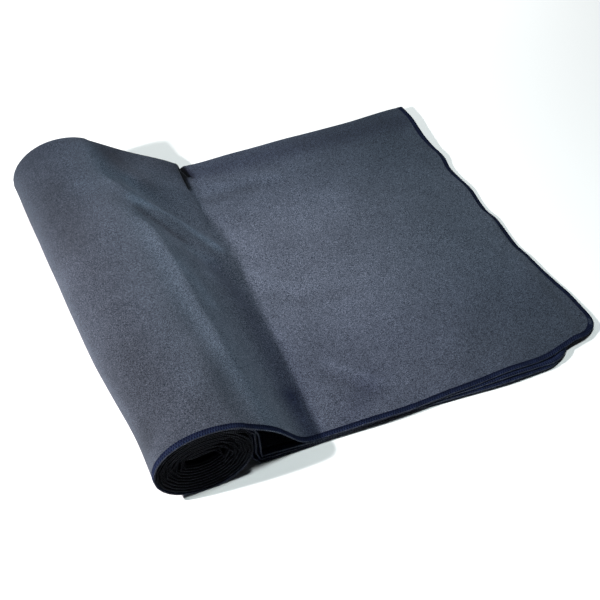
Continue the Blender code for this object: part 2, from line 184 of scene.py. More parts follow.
# Creases: ridges (rise above zero) and troughs (below zero), each on a line of places
CREASES = table(
    "rise wide line",
    # Top of the roll
    (0.0034, 0.016, ((-0.254, 0.205), (-0.249, 0.162), (-0.248, 0.105), (-0.247, 0.055),
                     (-0.245, -0.010))),
    (0.0006, 0.005, ((-0.261, 0.240), (-0.257, 0.210), (-0.252, 0.162), (-0.251, 0.105),
                     (-0.247, 0.045))),
    (0.0005, 0.006, ((-0.317, 0.144), (-0.297, 0.149))),
    (0.0005, 0.006, ((-0.312, 0.125), (-0.295, 0.122))),
    (0.0005, 0.006, ((-0.315, 0.074), (-0.301, 0.071))),
    # Slope
    (-0.0019, 0.009, ((-0.248, 0.258), (-0.227, 0.236), (-0.214, 0.214))),
    (0.0021, 0.008, ((-0.261, 0.246), (-0.239, 0.223), (-0.214, 0.209), (-0.202, 0.187))),
    (-0.0020, 0.007, ((-0.254, 0.211), (-0.238, 0.198), (-0.222, 0.175), (-0.208, 0.160))),
    (-0.0010, 0.008, ((-0.236, 0.158), (-0.228, 0.120), (-0.226, 0.070), (-0.228, 0.030))),
    # The pleat where the slope meets the flat stretch at the fold, and the fine line on from it
    (-0.0042, 0.0018, ((-0.1950, 0.3030), (-0.1920, 0.2890))),
    (-0.0040, 0.0014, ((-0.1975, 0.2980), (-0.1985, 0.2710))),
    (-0.0008, 0.0020, ((-0.1985, 0.2700), (-0.1985, 0.2520), (-0.2030, 0.2160),
                       (-0.2000, 0.1880))),
    # Flat stretch
    (0.0012, 0.006, ((-0.194, 0.159), (-0.181, 0.149), (-0.163, 0.131))),
    (0.0008, 0.006, ((-0.196, 0.245), (-0.183, 0.234))),
    (-0.0006, 0.007, ((-0.185, 0.264), (-0.136, 0.254))),
    (0.0010, 0.007, ((-0.184, 0.275), (-0.132, 0.264))),
    (-0.0008, 0.005, ((-0.185, 0.048), (-0.175, 0.037), (-0.166, 0.023))),
    (0.0008, 0.005, ((-0.178, 0.056), (-0.168, 0.045), (-0.158, 0.031))),
)
CREASES_FADE = 0.3  # how upright the roll's face may stand before they have died away
CREASED_TURNS = 0.5
CREASES_IN_LAYERS = (1.0, 0.7, 0.4, 0.1)  # share of them in each layer on the flat stretch
FOOT_ZONE = 0.020  # length about the foot of the slope over which that share changes

# Painted light and shade on the top layer: bands painted lighter as painted highlight (tone above
# zero) or darker as painted shade, each round a line of places
# Tints of the bands: plain, teal of the painted light from above, and navy of the painted shade
PLAIN = (1.0, 1.0, 1.0)
TEAL_LIGHT_TINT = (0.80, 1.02, 1.04)
NAVY_SHADE_TINT = (1.04, 1.02, 0.80)
PAINTED_LIGHT_BANDS = table(
    "tone tint wide line",
    # Shoulder of the roll: painted highlight in the light from above
    (0.30, TEAL_LIGHT_TINT, 0.020, ((-0.246, 0.262), (-0.248, 0.200), (-0.248, 0.120), (-0.244, 0.070),
                         (-0.240, 0.000))),
    (0.26, TEAL_LIGHT_TINT, 0.008, ((-0.262, 0.215), (-0.261, 0.128), (-0.257, 0.087), (-0.245, 0.000))),
    (0.55, TEAL_LIGHT_TINT, 0.008, ((-0.267, 0.290), (-0.265, 0.256))),
    (0.12, TEAL_LIGHT_TINT, 0.014, ((-0.281, 0.240), (-0.281, 0.110), (-0.281, 0.040))),
    (0.20, TEAL_LIGHT_TINT, 0.016, ((-0.284, 0.292), (-0.282, 0.250))),
    (0.32, TEAL_LIGHT_TINT, 0.008, ((-0.248, 0.264), (-0.250, 0.234))),
    # Slope: painted highlight and painted shade
    (0.70, TEAL_LIGHT_TINT, 0.0045, ((-0.256, 0.231), (-0.240, 0.229), (-0.228, 0.223), (-0.206, 0.195))),
    (0.20, TEAL_LIGHT_TINT, 0.004, ((-0.235, 0.193), (-0.227, 0.185), (-0.215, 0.180))),
    (-0.34, TEAL_LIGHT_TINT, 0.010, ((-0.254, 0.288), (-0.236, 0.264))),
    (-0.18, TEAL_LIGHT_TINT, 0.012, ((-0.246, 0.300), (-0.205, 0.300))),
    (-0.40, TEAL_LIGHT_TINT, 0.004, ((-0.255, 0.219), (-0.249, 0.214), (-0.232, 0.196))),
    (0.30, TEAL_LIGHT_TINT, 0.006, ((-0.247, 0.158), (-0.240, 0.139), (-0.238, 0.122))),
    (0.30, PLAIN, 0.012, ((-0.214, 0.264), (-0.209, 0.230), (-0.204, 0.200))),
    (0.26, PLAIN, 0.006, ((-0.223, 0.190), (-0.227, 0.155))),
    (0.17, PLAIN, 0.008, ((-0.231, 0.095), (-0.234, 0.030))),
    # Foot of the slope: painted shade
    (-0.28, NAVY_SHADE_TINT, 0.010, ((-0.219, 0.174), (-0.211, 0.145), (-0.212, 0.090), (-0.215, 0.050))),
    (-0.54, NAVY_SHADE_TINT, 0.008, ((-0.216, 0.040), (-0.217, 0.000))),
    # Left of the roll: painted shade
    (-0.28, PLAIN, 0.018, ((-0.312, 0.250), (-0.311, 0.200))),
    (-0.16, PLAIN, 0.022, ((-0.313, 0.160), (-0.313, 0.030))),
    (-0.13, PLAIN, 0.018, ((-0.313, 0.082), (-0.313, 0.055))),
    # Painted shade inside the pleat at the fold
    (-0.97, PLAIN, 0.0034, ((-0.1953, 0.3040), (-0.1925, 0.2885))),
    (-0.95, PLAIN, 0.0026, ((-0.1975, 0.2970), (-0.1985, 0.2750))),
    # Flat stretch: painted highlight and painted shade
    (-0.13, PLAIN, 0.040, ((-0.178, 0.190), (-0.178, 0.070))),
    (0.14, PLAIN, 0.004, ((-0.196, 0.170), (-0.186, 0.153), (-0.160, 0.134))),
    (-0.12, PLAIN, 0.005, ((-0.196, 0.140), (-0.170, 0.122), (-0.135, 0.119))),
    (0.24, PLAIN, 0.0035, ((-0.182, 0.062), (-0.170, 0.048), (-0.156, 0.030))),
    (-0.12, PLAIN, 0.004, ((-0.188, 0.050), (-0.176, 0.037), (-0.165, 0.022))),
    (-0.12, PLAIN, 0.010, ((-0.200, 0.225), (-0.196, 0.160))),
    (-0.26, PLAIN, 0.006, ((-0.188, 0.254), (-0.166, 0.257), (-0.152, 0.257))),
    (0.14, PLAIN, 0.005, ((-0.192, 0.264), (-0.160, 0.269), (-0.130, 0.263))),
    (-0.34, NAVY_SHADE_TINT, 0.012, ((-0.188, 0.291), (-0.100, 0.290), (-0.010, 0.288))),
    (0.14, PLAIN, 0.020, ((-0.190, 0.200), (-0.188, 0.150))),
    (0.12, PLAIN, 0.020, ((-0.140, 0.212), (-0.100, 0.219))),
    (-0.16, NAVY_SHADE_TINT, 0.050, ((-0.185, 0.055), (-0.020, 0.055))),
    (-0.22, NAVY_SHADE_TINT, 0.012, ((-0.192, 0.004), (-0.162, 0.033))),
    (-0.14, NAVY_SHADE_TINT, 0.016, ((-0.150, 0.004), (-0.020, 0.006))),
)
# Painted shade towards each side of the towel, where the light falls off: along an axis of the frame,
# from one place to another, to that tone
SHADE_TOWARDS_SIDES = table(
    "axis start end tone",
    ("X", 0.00, 0.14, (0.53, 0.60, 0.61)),
    ("Y", 0.04, 0.12, (0.67, 0.71, 0.74)),
    ("Y", 0.12, 0.15, (0.78, 0.80, 0.83)),
    ("X", -0.05, -0.15, (0.50, 0.50, 0.50)),
    ("Y", -0.03, -0.14, (0.84, 0.84, 0.84)),
)
ROLL_TOP_ENDS = 0.345  # length of cloth from the loose end over the top of the roll
PAINTED_BANDS_FADE = 0.3  # how upright a face may stand before the bands have died away
DARKEST_PAINTED_TONE = 0.04

# Painted shade: the inner turns are darker near the roll's open end, which lies in deep shade
INNER_FROM = 0.975  # share of the roll's outline inside which the turns count as inner ones
INNER_FADE = 0.05
INNER_DEPTH = 0.05
INNER_DARKER = 0.86

# Broad soft swells of the top layer: wave lengths across and along, and where each starts
SWELLS = table(
    "rise along across start",
    (0.00035, 0.092, 0.210, 0.4),
    (0.00025, 0.061, -0.083, 2.1),
    (0.00018, -0.047, 0.058, 4.0),
)

# How closely the grid's lines lie: up to each place, the step between lines
NEAR_LINES = table(
    "up_to step",
    (0.021, 0.0021), (0.170, 0.0036), (0.187, 0.0023), (0.208, 0.0009), (0.262, 0.0023),
    (0.310, 0.0032), (0.346, 0.0036), (0.470, 0.0055), (0.9125, 0.0090),
)
FAR_LINES = table("up_to step", (0.021, 0.0021), (0.260, 0.0085), (0.9125, 0.0090))
TOP_LINES = table("up_to step", (0.260, 0.0034), (0.3025, 0.0025))
UNDER_LINES = table("up_to step", (0.3025, 0.0085))
CORNER_LINES = (0.0, 0.0002, 0.0007, 0.0015, 0.0026, 0.0040, 0.0058, 0.0080, 0.0105, 0.0135,
                0.0170, CORNER_RADIUS)
PAST_CORNER = 0.001
FOLD_LINES = 8

# Overlock seam: its lengths, and how far the dark sheet under its loopers, which paints the shade
# # between the threads, lies off the cloth
SEAM_PARTS = ("overlock_first_third", "overlock_second_third", "overlock_last_third")
GROUND_LIES = 0.00011
LOOK_IN = 0.0015  # distance in from the edge that tells which way is outward
THREAD_SIDES = 4
ROUNDS_EDGE = 0.14  # part of the seam's width over which the threads turn round the edge
NEEDLE_LINE = 0.4  # part of the needle groove's width at which its thread lies
NEEDLE_WIDTH, NEEDLE_THICKNESS = 0.6, 0.9  # beside the loopers' threads

# Mottling: spots in a metre, detail, spread of its noise, darkest and lightest tone
Mottle = namedtuple("Mottle", "scale detail spread darkest lightest")
HEATHER = Mottle(2700.0, 0.0, 0.16, 0.48, 1.52)
PATCHES = Mottle(60.0, 1.0, 0.20, 0.94, 1.05)
BROAD = Mottle(9.0, 2.0, 0.15, 0.95, 1.05)
THREAD_PATCHES = Mottle(190.0, 2.0, 0.20, 0.75, 1.25)
TUFTS_IN_A_METRE = 2700.0
FIBRES_IN_A_METRE = 2600.0
FLOOR_DARKEST = 0.985

# Finishes, by the names of the shader's own sockets
SUEDE_FINISH = {
    "Roughness": 0.95,
    "Specular IOR Level": 0.15,
    "Sheen Weight": 0.18,
    "Sheen Roughness": 0.45,
    "Sheen Tint": (0.62, 0.72, 0.90, 1.0),
}
THREAD_FINISH = {"Roughness": 0.80, "Specular IOR Level": 0.05}
FLOOR_FINISH = {"Roughness": 0.9, "Specular IOR Level": 0.1}
SUEDE_BUMP = {"Strength": 0.45, "Distance": 0.00020}
THREAD_BUMP = {"Strength": 0.5, "Distance": 0.00012}

# Lights, in the frame: one low on the left, one above and a little in front of the middle, and
# one for the surface beyond the towel alone
TOWEL_MIDDLE = (-0.040, -0.020, 0.010)
LAMPS = table(
    "name power place target size spread colour",
    ("side light", "side_power", (-0.559, -0.085, 0.356), TOWEL_MIDDLE, 0.028, 180.0,
     (1.0, 0.965, 0.97)),
    ("high light", "high_power", (0.000, -0.125, 1.150), TOWEL_MIDDLE, 0.17, 180.0,
     (0.90, 1.0, 1.0)),
    ("floor light", "floor_power", (0.240, 0.740, 0.620), (0.220, 0.660, 0.000), 0.20, 104.0,
     (1.0, 1.0, 1.0)),
)
ROOM_COLOUR = (0.95, 0.98, 1.0, 1.0)
FLOOR_REACH = 6.0
SENSOR_WIDTH = 36.0  # millimetres, as the lens is


def ease(fraction):
    """Smooth rise from 0 to 1."""
    fraction = np.clip(fraction, 0.0, 1.0)
    return fraction * fraction * (3.0 - 2.0 * fraction)


def between(start, end, fraction):
    return start + (end - start) * fraction


def from_table(rows, key, place, column):
    """Values of a column at places between a table's rows, on a curve through the rows."""
    knots = np.array([getattr(row, key) for row in rows])
    values = np.array([getattr(row, column) for row in rows])
    place = np.clip(place, knots[0], knots[-1])
    n = np.clip(np.searchsorted(knots, place, side="right") - 1, 0, len(rows) - 2)
    before = np.maximum(n - 1, 0)
    after = np.minimum(n + 2, len(rows) - 1)
    span = knots[n + 1] - knots[n]
    slope_in = (values[n + 1] - values[before]) / (knots[n + 1] - knots[before]) * span
    slope_out = (values[after] - values[n]) / (knots[after] - knots[n]) * span
    t = (place - knots[n]) / span
    rise = values[n + 1] - values[n]
    bend = slope_in * (t - 2 * t**2 + t**3) + slope_out * (t**3 - t**2)
    return values[n] + rise * (3 * t**2 - 2 * t**3) + bend


def lengths_along(points):
    """How far along a line of points each point lies."""
    steps = np.linalg.norm(np.diff(points, axis=0), axis=1)
    return np.concatenate(([0.0], np.cumsum(steps)))


def taken_again(points, places, wanted):
    """Points of a line, or directions on it, read again at the wanted places along it."""
    columns = [np.interp(wanted, places, points[:, n]) for n in range(points.shape[1])]
    return np.stack(columns, axis=1)


def unit(directions):
    return directions / np.linalg.norm(directions, axis=-1, keepdims=True)


class RollOutline:
    """The roll's outline at one depth, and where the slope leaves it."""

    def __init__(self, depth):
        sizes = [from_table(ROLL, "y", depth, size) for size in ROLL[0]._fields[1:]]
        self.middle_x, self.half_width, height, self.foot_x, self.foot_r, self.turn_step = sizes
        self.half_height = (height + SUNK) / 2
        self.middle_z = height - self.half_height
        across = (self.foot_x - self.middle_x) / self.half_width
        up = (STACK - self.middle_z) / self.half_height
        self.leaves = math.atan2(up, across) + math.acos(1.0 / math.hypot(across, up))

    def face(self, angle, inset):
        """Points (x, z) on the ellipse drawn in by the inset, and the outward directions."""
        wide = np.maximum(self.half_width - inset, SMALLEST_TURN[0])
        high = np.maximum(self.half_height - inset, SMALLEST_TURN[1])
        sunk = np.maximum(-(self.middle_z + self.half_height * np.sin(angle)), 0.0)
        lift = sunk * np.clip(1.0 - inset / EVEN_BY, 0.0, 1.0)
        x = self.middle_x + wide * np.cos(angle)
        z = self.middle_z + high * np.sin(angle) + lift
        out = unit(np.stack((high * np.cos(angle), wide * np.sin(angle)), axis=-1))
        return np.stack((x, z), axis=-1), out

    def drawn_in(self, turn):
        """How far the outline has drawn in after so many turns."""
        whole = np.floor(turn)
        return self.turn_step * (whole + ease((turn - whole - STEP_STARTS) / (1.0 - STEP_STARTS)))

    def wound(self, layer, turn):
        """Middle of a wound layer's thickness, counted in turns from where the slope leaves."""
        inset = self.drawn_in(turn) + self.turn_step / 8 + layer * self.turn_step / 4
        return self.face(self.leaves + 2 * math.pi * turn, inset)


def slope_line(outline):
    """Top face of the stack from the roll to the flat: straight down the slope, round the foot."""
    start, _ = outline.face(outline.leaves, 0.0)
    fall = unit(np.array([outline.foot_x, STACK]) - start)
    tilt = math.atan2(-fall[1], fall[0])
    reach = outline.foot_r * math.tan(tilt / 2)
    foot_start = np.array([outline.foot_x, STACK]) - fall * reach
    down = np.linspace(0.0, 1.0, SLOPE_POINTS, endpoint=False)[:, None]
    straight = start + (foot_start - start) * down
    lean = tilt * np.linspace(1.0, 0.0, FOOT_POINTS)
    turned = np.stack((np.sin(lean), np.cos(lean)), axis=1)
    centre = np.array([outline.foot_x + reach, STACK + outline.foot_r])
    points = np.concatenate((straight, centre - turned * outline.foot_r))
    outs = np.concatenate((np.tile(turned[0], (len(straight), 1)), turned))
    return points, outs


def slack_line(outline, end_x, count):
    """Underside of the slack layers: down the roll's side, round the toe, along the surface."""
    angle = outline.leaves * np.linspace(1.0, 0.0, SIDE_POINTS)
    turn = 1.0 - (outline.leaves - angle) / (2 * math.pi)
    side, side_out = outline.face(angle, outline.drawn_in(turn) - OFF_ROLL)
    toe_x = side[-1, 0]
    lean = np.linspace(0.0, math.pi / 2, TOE_POINTS)
    toe_out = np.stack((np.cos(lean), np.sin(lean)), axis=1)
    toe = np.array([toe_x + TOE_RADIUS, TOE_RADIUS]) - toe_out * TOE_RADIUS
    points = np.concatenate((side, [[toe_x, TOE_START]], toe, [[end_x, 0.0]]))
    outs = np.concatenate((side_out, [[1.0, 0.0]], toe_out, [[0.0, 1.0]]))
    places = lengths_along(points)
    wanted = np.linspace(0.0, places[-1], count)
    return taken_again(points, places, wanted), unit(taken_again(outs, places, wanted))


def end_line(layer, depth):
    """Where a layer's end lies at one depth, as if its corners weren't rounded."""
    line = between(LAYERS[layer].end_at_front, LAYERS[layer].end_at_back, depth / FOLDED_WIDTH)
    if layer == A:
        line += CORNER_FLARE * (1.0 - ease((depth - FLARE_FROM) / (FLARE_TO - FLARE_FROM)))
        line += from_table(END_WAVES, "y", depth, "out")
    return line


def place_in_depth(layer, depth, x):
    """A row's place front to back, with the open edge drawn in and the fold line fanned out."""
    column = ("top", "second", "lower", "lower")[layer]
    back = depth / FOLDED_WIDTH
    drawn_in = from_table(FRONT_EDGES, "x", x, column) * (1.0 - back) ** 2
    fanned = FOLD_FAN * back * np.clip(1.0 - x / FOLD_FAN_FROM, 0.0, 1.0)
    return depth + drawn_in + fanned


def nearness(x, y, band):
    """1 on a band's or crease's line, falling softly to 0 away from it, seen from above."""
    off = np.full_like(x, np.inf)
    for start, end in zip(band.line, band.line[1:]):
        step_x, step_y = end[0] - start[0], end[1] - start[1]
        reach = ((x - start[0]) * step_x + (y - start[1]) * step_y) / (step_x**2 + step_y**2)
        reach = np.clip(reach, 0.0, 1.0)
        off_x, off_y = x - start[0] - reach * step_x, y - start[1] - reach * step_y
        off = np.minimum(off, np.hypot(off_x, off_y))
    return np.exp(-((off / band.wide) ** 2))


def crease_rise(x, y):
    """How far the creases and swells lift or sink the cloth at places seen from above."""
    total = np.zeros_like(x)
    for crease in CREASES:
        total += crease.rise * nearness(x, y, crease)
    for swell in SWELLS:
        waves = x / swell.along + y / swell.across
        total += swell.rise * np.sin(2 * math.pi * waves + swell.start)
    return total


def slope_of_layer(layer, depth, outline):
    """A layer from the foot of the slope up to the roll: points, outward directions, and how far
    it has dropped off the slope, from 0 to 1."""
    top, top_out = slope_line(outline)
    down = np.linspace(0.0, 1.0, len(top))[:, None]
    wound_step = outline.turn_step / 4
    step = between(wound_step, LAYER_STEP, ease(down))
    first = between(wound_step / 2, STACK - LOWEST - D * LAYER_STEP, ease(down))
    spot = top - top_out * (first + layer * step)
    out = top_out
    fallen = np.zeros_like(down)
    if layer != A:
        room = np.minimum(np.maximum(top[:, 1:] - STACK, 0.0) / 2, PARTED)
        slack, slack_out = slack_line(outline, top[-1, 0], len(top))
        from_below = LOWEST + (D - layer) * LAYER_STEP
        loose = LAYERS[layer].loose * np.sin(math.pi * down)
        fallen = (1.0 - ease(depth / SLACK_DEPTH)) * ease(down / PARTING)
        spot = between(spot - top_out * room, slack + slack_out * (from_below + loose), fallen)
        out = unit(between(top_out, slack_out, fallen))
    return spot[::-1], out[::-1], fallen[::-1, 0]


def sinking(layer, depth, x, y, places):
    """How far the upper layers' flat stretch sinks, waves and turns down towards its end."""
    if layer not in (A, B):
        return np.zeros_like(x)
    sinks = from_table(END_FALLS, "y", depth, "fall") * ease((x + FALL_LENGTH) / FALL_LENGTH)
    if layer == A:
        past = ease((x - end_line(B, y) - DROP_START) / DROP_REACH)
        wave = WAVE_LIFT * max(float(from_table(END_WAVES, "y", depth, "out")), 0.0)
        free = ease((end_line(A, depth) - end_line(B, depth)) / CURL_NEEDS)
        sinks += END_DROP * past - wave * ease(1.0 - places / WAVE_BAND)
        sinks += CURL * free * ease(1.0 - places / CURL_REACH)
    return sinks


def layer_row(layer, depth, places):
    """One layer at one depth: its points at places along it from its loose end."""
    outline = RollOutline(depth)
    slope, slope_out, fallen = slope_of_layer(layer, depth, outline)
    slope_places = lengths_along(slope)
    end_x = end_line(layer, depth)
    flat_length = end_x - slope[0, 0]
    roll_starts = flat_length + slope_places[-1]
    roll_ends = LENGTH / 2 - HALF_FOLD

    # The roll, whose length is shared out in proportion over the cloth that is left
    turns = np.linspace(0.0, TURNS, WOUND_POINTS)
    middle, _ = outline.wound((A + D) / 2, turns)
    wound_places = lengths_along(middle)
    wound_places *= (roll_ends - roll_starts) / wound_places[-1]
    turn = np.interp(places - roll_starts, wound_places, turns)
    wound, wound_out = outline.wound(layer, turn)
    proud = from_table(ROLL_FRONT, "turn", turn - np.floor(turn), "proud")
    front_y = LAYER_DRAWN_IN[layer] * ease(turn / DRAWN_IN_BY) + DISH * turn - proud
    wound_y = between(front_y, FOLDED_WIDTH + ROLL_BACK, depth / FOLDED_WIDTH)

    # All three stretches together
    on_flat = places < flat_length
    on_roll = places > roll_starts
    spot = taken_again(slope, slope_places, places - flat_length)
    out = unit(taken_again(slope_out, slope_places, places - flat_length))
    spot[on_flat, 0] = end_x - places[on_flat]
    spot[on_flat, 1] = LOWEST + (D - layer) * LAYER_STEP
    out[on_flat] = (0.0, 1.0)
    spot[on_roll], out[on_roll] = wound[on_roll], wound_out[on_roll]
    y = place_in_depth(layer, depth, spot[:, 0])
    y[on_roll] = wound_y[on_roll]

    # Creases, the full fold at the back, and the sinking end
    flat_share = CREASES_IN_LAYERS[layer]
    parted = np.interp(places - flat_length, slope_places, fallen)
    share = np.where(on_flat, flat_share, 1.0 - parted)
    share = between(flat_share, share, ease((places - flat_length) / FOOT_ZONE + 0.5))
    share = np.where(on_roll, 1.0, share)
    share *= np.where(turn < CREASED_TURNS, ease(out[:, 1] / CREASES_FADE), 0.0)
    back = ease(1.0 - (FOLDED_WIDTH - depth) / PUFF_REACH)
    rise = crease_rise(spot[:, 0], y) + PUFFS[layer] * back * ease(1.0 - turn / PUFF_TURN)
    spot = spot + out * (rise * share)[:, None]
    spot[:, 1] -= np.where(on_flat, sinking(layer, depth, spot[:, 0], y, places), 0.0)
    return np.stack((spot[:, 0], y, np.maximum(spot[:, 1], LOWEST)), axis=1)


def grid_lines(spacings):
    """Places of the grid's lines, evenly inside each stretch of the spacing."""
    lines = [0.0]
    for spacing in spacings:
        count = max(1, round((spacing.up_to - lines[-1]) / spacing.step))
        lines += list(np.linspace(lines[-1], spacing.up_to, count + 1)[1:])
    return np.array(lines)


def fold_lines(middle):
    """Places of the grid's lines over a fold."""
    return np.linspace(middle - HALF_FOLD, middle + HALF_FOLD, FOLD_LINES + 1)[1:-1]


def lines_along():
    """Lines across the cloth, by their place along its length."""
    far = LENGTH - grid_lines(FAR_LINES)[::-1]
    return np.concatenate((grid_lines(NEAR_LINES), fold_lines(LENGTH / 2), far))


def lines_across():
    """Lines along the cloth, by their place across its width."""
    near, far = grid_lines(TOP_LINES), grid_lines(UNDER_LINES)
    near, far = near[near > CORNER_RADIUS + PAST_CORNER], far[far > CORNER_RADIUS + PAST_CORNER]
    far = WIDTH - np.concatenate((CORNER_LINES, far))[::-1]
    return np.concatenate((CORNER_LINES, near, fold_lines(WIDTH / 2), far))


def corner_cut(across):
    """How far the rounded corners take the cloth's ends back at places across its width."""
    off = np.minimum(across, WIDTH - across)
    short = np.clip(CORNER_RADIUS - off, 0.0, CORNER_RADIUS)
    return CORNER_RADIUS - np.sqrt(CORNER_RADIUS**2 - short**2)


def cloth_row(across, along):
    """A whole lengthwise line of the cloth, from its upper end through the middle fold."""
    cut = corner_cut(across)
    near_end = np.minimum(along / CORNER_ZONE, 1.0)
    far_end = np.minimum((LENGTH - along) / CORNER_ZONE, 1.0)
    places = along + cut * (1.0 - near_end) - cut * (1.0 - far_end)
    depth = min(across, WIDTH - across)
    upper, lower = (A, D) if across < WIDTH / 2 else (B, C)
    near = places <= LENGTH / 2 - HALF_FOLD + ON_FOLD
    far = places >= LENGTH / 2 + HALF_FOLD - ON_FOLD
    row = np.zeros((len(along), 3))
    row[near] = layer_row(upper, depth, places[near])
    row[far] = layer_row(lower, depth, LENGTH - places[far])
    start, end = row[near][-1], row[far][0]
    ahead = unit(start - row[near][-2] + end - row[far][1])
    middle = (start + end) / 2
    folded = ~(near | far)
    turned = (math.pi * (places[folded] - LENGTH / 2 + HALF_FOLD) / FOLD_ZONE)[:, None]
    radius = np.linalg.norm(start - end) / 2
    row[folded] = middle + (start - middle) * np.cos(turned) + ahead * radius * np.sin(turned)
    return row


def painted_roll_end_shade(points):
    """Painted shade in the roll: a darker tone for the inner turns near its open end."""
    outline = RollOutline(0.0)
    x, y, z = np.moveaxis(points - TO_FRAME, -1, 0)
    across = (x - outline.middle_x) / outline.half_width
    out = np.hypot(across, (z - outline.middle_z) / outline.half_height)
    inside = ease((INNER_FROM - out) / INNER_FADE) * ease(1.0 - y / INNER_DEPTH)
    return 1.0 - INNER_DARKER * inside


class Cloth:
    """The whole sheet as a grid of points, with a place on the flat cloth for every point."""

    def __init__(self):
        self.along = lines_along()
        self.across = lines_across()
        rows = {}
        for n, across in enumerate(self.across):
            if abs(across - WIDTH / 2) >= HALF_FOLD - ON_FOLD:
                rows[n] = cloth_row(across, self.along)
        before = max(n for n in rows if self.across[n] < WIDTH / 2)
        after = min(n for n in rows if self.across[n] > WIDTH / 2)
        high, low = rows[before], rows[after]
        middle = (high + low) / 2
        radius = np.linalg.norm(high - low, axis=1, keepdims=True) / 2
        for n in range(before + 1, after):
            turned = math.pi * (self.across[n] - WIDTH / 2 + HALF_FOLD) / FOLD_ZONE
            rows[n] = middle + (high - middle) * math.cos(turned)
            rows[n][:, 1:2] += radius * math.sin(turned)
        points = np.stack([rows[n] for n in range(len(self.across))])
        self.points = points + TO_FRAME
        steps_along = np.gradient(self.points, axis=1)
        steps_across = np.gradient(self.points, axis=0)
        self.normals = unit(np.cross(steps_along, steps_across))

    def nap(self):
        """Painted light and shade at every point of the grid, as a colour to multiply by: the painted
        bands of the top layer and the painted shade of the roll's inner turns.
        """
        x, y = self.points[..., 0] - TO_FRAME[0], self.points[..., 1] - TO_FRAME[1]
        shows = ease(np.abs(self.normals[..., 2]) / PAINTED_BANDS_FADE)
        shows = shows * (self.across < WIDTH / 2)[:, None] * (self.along < ROLL_TOP_ENDS)[None, :]
        tones = np.ones(self.points.shape[:2] + (4,))
        for band in PAINTED_LIGHT_BANDS:
            share = band.tone * nearness(x, y, band) * shows
            tones[..., :3] += share[..., None] * np.array(band.tint)
        # Painted shade of the roll's inner turns
        tones[..., :3] *= painted_roll_end_shade(self.points)[..., None]
        return np.maximum(tones, DARKEST_PAINTED_TONE)

    def grid_place(self, along, across):
        """Fractions of grid steps at places on the flat cloth."""
        cut = corner_cut(across)
        stretch = CORNER_ZONE / (CORNER_ZONE - cut)
        near = np.where(along < CORNER_ZONE, (along - cut) * stretch, along)
        left = LENGTH - along
        place = np.where(left < CORNER_ZONE, LENGTH - (left - cut) * stretch, near)
        column = np.interp(place, self.along, np.arange(len(self.along)))
        row = np.interp(across, self.across, np.arange(len(self.across)))
        return row, column

    def read(self, values, along, across):
        """Values of the grid at places on the flat cloth."""
        row, column = self.grid_place(along, across)
        j = np.clip(np.floor(row).astype(int), 0, values.shape[0] - 2)
        i = np.clip(np.floor(column).astype(int), 0, values.shape[1] - 2)
        down, over = (row - j)[:, None], (column - i)[:, None]
        first = between(values[j, i], values[j, i + 1], over)
        second = between(values[j + 1, i], values[j + 1, i + 1], over)
        return between(first, second, down)


@lru_cache(maxsize=1)
def folded_cloth():
    """The cloth's grid, which its stitching follows too."""
    return Cloth()


def edge_place(place):
    """Points on the cut edge, the directions in from it, and its length, by distance round it.

    The way round starts in the middle of the end that shows, goes round the front corner and
    along the open edge, and comes back on the other side of the cloth. It is nine stretches, of
    which every second one is a rounded corner.
    """
    long_side = LENGTH - 2 * CORNER_RADIUS
    short_side = WIDTH - 2 * CORNER_RADIUS
    corner = math.pi / 2 * CORNER_RADIUS
    stretches = (short_side / 2, corner, long_side, corner, short_side,
                 corner, long_side, corner, short_side / 2)
    starts = np.concatenate(([0.0], np.cumsum(stretches)))
    place = place % starts[-1]
    stretch = np.clip(np.searchsorted(starts, place, side="right") - 1, 0, len(stretches) - 1)
    into = place - starts[stretch]
    is_round = stretch % 2 == 1
    heading = math.pi / 2 * (stretch // 2 - 1)
    turned = np.where(is_round, into / CORNER_RADIUS, 0.0)
    corners = np.array(((0.0, WIDTH / 2), (0.0, CORNER_RADIUS), (CORNER_RADIUS, 0.0),
                        (LENGTH - CORNER_RADIUS, 0.0), (LENGTH, CORNER_RADIUS),
                        (LENGTH, WIDTH - CORNER_RADIUS), (LENGTH - CORNER_RADIUS, WIDTH),
                        (CORNER_RADIUS, WIDTH), (0.0, WIDTH - CORNER_RADIUS)))
    ahead = np.stack((np.cos(heading), np.sin(heading)), axis=1)
    inward = np.stack((-np.sin(heading), np.cos(heading)), axis=1)
    swept = ahead * np.sin(turned)[:, None] + inward * (1.0 - np.cos(turned))[:, None]
    moved = np.where(is_round[:, None], CORNER_RADIUS * swept, ahead * into[:, None])
    final = heading + turned
    return corners[stretch] + moved, np.stack((-np.sin(final), np.cos(final)), axis=1), starts[-1]


def edge_points(cloth, place, inset, height):
    """Points near the cut edge: so far round it, so far in from it and so high off the cloth."""
    edge, inward, _ = edge_place(place)
    inside = edge + inward * np.maximum(inset, 0.0)[:, None]
    further = edge + inward * LOOK_IN
    on_edge = cloth.read(cloth.points, edge[:, 0], edge[:, 1])
    outward = unit(on_edge - cloth.read(cloth.points, further[:, 0], further[:, 1]))
    spot = cloth.read(cloth.points, inside[:, 0], inside[:, 1])
    normal = unit(cloth.read(cloth.normals, inside[:, 0], inside[:, 1]))
    spot = spot + outward * np.maximum(-inset, 0.0)[:, None] + normal * height[:, None]
    return spot, normal, outward


